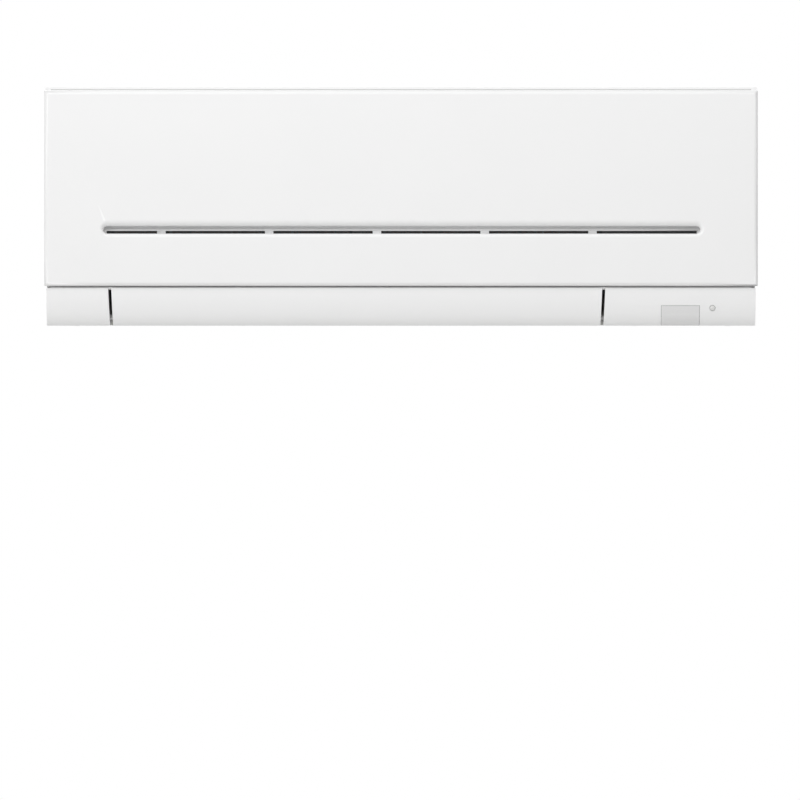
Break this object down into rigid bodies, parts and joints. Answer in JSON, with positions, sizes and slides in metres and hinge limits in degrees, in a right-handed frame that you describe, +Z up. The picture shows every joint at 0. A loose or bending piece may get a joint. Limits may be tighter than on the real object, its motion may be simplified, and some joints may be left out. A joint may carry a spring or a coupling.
{
  "type": "split air conditioner indoor unit",
  "caption": "White wall-mounted indoor unit with lifting front panel, swinging air vane, linked louvers and a cross-flow fan.",
  "frame": {"origin": "centre of the wall plate's back face, on the wall", "axes": "+X to the right seen from the front, +Y into the wall, +Z up; the front faces -Y"},
  "size_m": [0.838, 0.228, 0.282],
  "materials": {
    "white_housing": "semi-gloss moulded white plastic",
    "inner_plastic": "moulded off-white plastic, satin",
    "dark_plastic": "black glass-filled plastic",
    "smoked_window": "pale translucent window plastic",
    "clear_lens": "small frosted lens",
    "circuit_board": "green solder mask",
    "zinc_steel": "zinc-coated sheet steel",
    "coil_fins": "thin aluminium fins",
    "copper": "drawn copper tube",
    "brass": "turned brass",
    "black_rubber": "black rubber"
  },
  "bodies": {
    "housing": {"mounting_plate": "zinc_steel", "back_chassis": "inner_plastic", "casing": "white_housing", "corner_box_left": "white_housing", "corner_box_right": "white_housing", "receiver_window": "smoked_window", "lamp_lens": "clear_lens", "receiver_board": "circuit_board", "nozzle_drain_pan": "inner_plastic", "drain_plug": "black_rubber", "coil_front_lower": "coil_fins", "coil_front_upper": "coil_fins", "coil_rear": "coil_fins", "tube_sheet_left": "copper", "tube_sheet_right": "copper", "liquid_pipe": "copper", "flare_nut_liquid": "brass", "gas_pipe": "copper", "flare_nut_gas": "brass", "pipe_clamp": "inner_plastic", "fan_motor": "zinc_steel", "motor_strap": "zinc_steel", "fan_bearing": "black_rubber", "bearing_cover": "inner_plastic", "electrical_box": "inner_plastic", "electrical_cover": "zinc_steel", "control_board": "circuit_board", "terminal_block": "dark_plastic", "thermistor": "dark_plastic", "filter_left": "dark_plastic", "filter_right": "dark_plastic", "vane_motor": "inner_plastic"},
    "panel": {"front_panel": "white_housing"},
    "vane": {"vane": "white_housing"},
    "fan": {"fan_rotor": "dark_plastic", "motor_shaft": "zinc_steel"},
    "button": {"emergency_button": "inner_plastic"},
    "louver_left_1": {"louver_left_1": "inner_plastic"},
    "louver_left_2": {"louver_left_2": "inner_plastic"},
    "louver_left_3": {"louver_left_3": "inner_plastic"},
    "louver_left_4": {"louver_left_4": "inner_plastic"},
    "louver_left_5": {"louver_left_5": "inner_plastic"},
    "louver_left_6": {"louver_left_6": "inner_plastic"},
    "link_bar_left": {"link_bar_left": "inner_plastic"},
    "louver_right_1": {"louver_right_1": "inner_plastic"},
    "louver_right_2": {"louver_right_2": "inner_plastic"},
    "louver_right_3": {"louver_right_3": "inner_plastic"},
    "louver_right_4": {"louver_right_4": "inner_plastic"},
    "louver_right_5": {"louver_right_5": "inner_plastic"},
    "louver_right_6": {"louver_right_6": "inner_plastic"},
    "link_bar_right": {"link_bar_right": "inner_plastic"}
  },
  "joints": [
    {"name": "panel_lift", "type": "hinge", "parent": "housing", "child": "panel", "pos_m": [0, -0.216, 0.128], "axis": [-1, 0, 0], "range_deg": [0, 70]},
    {"name": "vane_swing", "type": "hinge", "parent": "housing", "child": "vane", "pos_m": [0, -0.192, -0.131], "axis": [1, 0, 0], "range_deg": [0, 85]},
    {"name": "fan_spin", "type": "hinge", "parent": "housing", "child": "fan", "pos_m": [0, -0.108, -0.03], "axis": [1, 0, 0], "continuous": true},
    {"name": "button_press", "type": "slide", "parent": "housing", "child": "button", "axis": [0, 1, 0], "range_m": [0, 0.0015], "stiffness_N_per_m": 800},
    {"name": "louver_left_1_turn", "type": "hinge", "parent": "housing", "child": "louver_left_1", "pos_m": [-0.32288, -0.13007, -0.10833], "axis": [0, -0.454, 0.891], "range_deg": [-35, 35]},
    {"name": "louver_left_2_turn", "type": "hinge", "parent": "housing", "child": "louver_left_2", "pos_m": [-0.27363, -0.13007, -0.10833], "axis": [0, -0.454, 0.891], "range_deg": [-35, 35]},
    {"name": "louver_left_3_turn", "type": "hinge", "parent": "housing", "child": "louver_left_3", "pos_m": [-0.22437, -0.13007, -0.10833], "axis": [0, -0.454, 0.891], "range_deg": [-35, 35]},
    {"name": "louver_left_4_turn", "type": "hinge", "parent": "housing", "child": "louver_left_4", "pos_m": [-0.17513, -0.13007, -0.10833], "axis": [0, -0.454, 0.891], "range_deg": [-35, 35]},
    {"name": "louver_left_5_turn", "type": "hinge", "parent": "housing", "child": "louver_left_5", "pos_m": [-0.12587, -0.13007, -0.10833], "axis": [0, -0.454, 0.891], "range_deg": [-35, 35]},
    {"name": "louver_left_6_turn", "type": "hinge", "parent": "housing", "child": "louver_left_6", "pos_m": [-0.07662, -0.13007, -0.10833], "axis": [0, -0.454, 0.891], "range_deg": [-35, 35]},
    {"name": "link_bar_left_follow", "type": "hinge", "parent": "louver_left_3", "child": "link_bar_left", "pos_m": [-0.22437, -0.16743, -0.07686], "axis": [0, -0.454, 0.891], "range_deg": [-35, 35]},
    {"name": "louver_right_1_turn", "type": "hinge", "parent": "housing", "child": "louver_right_1", "pos_m": [-0.02738, -0.13007, -0.10833], "axis": [0, -0.454, 0.891], "range_deg": [-35, 35]},
    {"name": "louver_right_2_turn", "type": "hinge", "parent": "housing", "child": "louver_right_2", "pos_m": [0.02187, -0.13007, -0.10833], "axis": [0, -0.454, 0.891], "range_deg": [-35, 35]},
    {"name": "louver_right_3_turn", "type": "hinge", "parent": "housing", "child": "louver_right_3", "pos_m": [0.07112, -0.13007, -0.10833], "axis": [0, -0.454, 0.891], "range_deg": [-35, 35]},
    {"name": "louver_right_4_turn", "type": "hinge", "parent": "housing", "child": "louver_right_4", "pos_m": [0.12037, -0.13007, -0.10833], "axis": [0, -0.454, 0.891], "range_deg": [-35, 35]},
    {"name": "louver_right_5_turn", "type": "hinge", "parent": "housing", "child": "louver_right_5", "pos_m": [0.16962, -0.13007, -0.10833], "axis": [0, -0.454, 0.891], "range_deg": [-35, 35]},
    {"name": "louver_right_6_turn", "type": "hinge", "parent": "housing", "child": "louver_right_6", "pos_m": [0.21887, -0.13007, -0.10833], "axis": [0, -0.454, 0.891], "range_deg": [-35, 35]},
    {"name": "link_bar_right_follow", "type": "hinge", "parent": "louver_right_3", "child": "link_bar_right", "pos_m": [0.07112, -0.16743, -0.07686], "axis": [0, -0.454, 0.891], "range_deg": [-35, 35]}
  ],
  "couplings": [
    {"joint": "louver_left_1_turn", "follows": "louver_left_3_turn", "ratio": 1},
    {"joint": "louver_left_2_turn", "follows": "louver_left_3_turn", "ratio": 1},
    {"joint": "louver_left_4_turn", "follows": "louver_left_3_turn", "ratio": 1},
    {"joint": "louver_left_5_turn", "follows": "louver_left_3_turn", "ratio": 1},
    {"joint": "louver_left_6_turn", "follows": "louver_left_3_turn", "ratio": 1},
    {"joint": "link_bar_left_follow", "follows": "louver_left_3_turn", "ratio": -1},
    {"joint": "louver_right_1_turn", "follows": "louver_right_3_turn", "ratio": 1},
    {"joint": "louver_right_2_turn", "follows": "louver_right_3_turn", "ratio": 1},
    {"joint": "louver_right_4_turn", "follows": "louver_right_3_turn", "ratio": 1},
    {"joint": "louver_right_5_turn", "follows": "louver_right_3_turn", "ratio": 1},
    {"joint": "louver_right_6_turn", "follows": "louver_right_3_turn", "ratio": 1},
    {"joint": "link_bar_right_follow", "follows": "louver_right_3_turn", "ratio": -1}
  ]
}
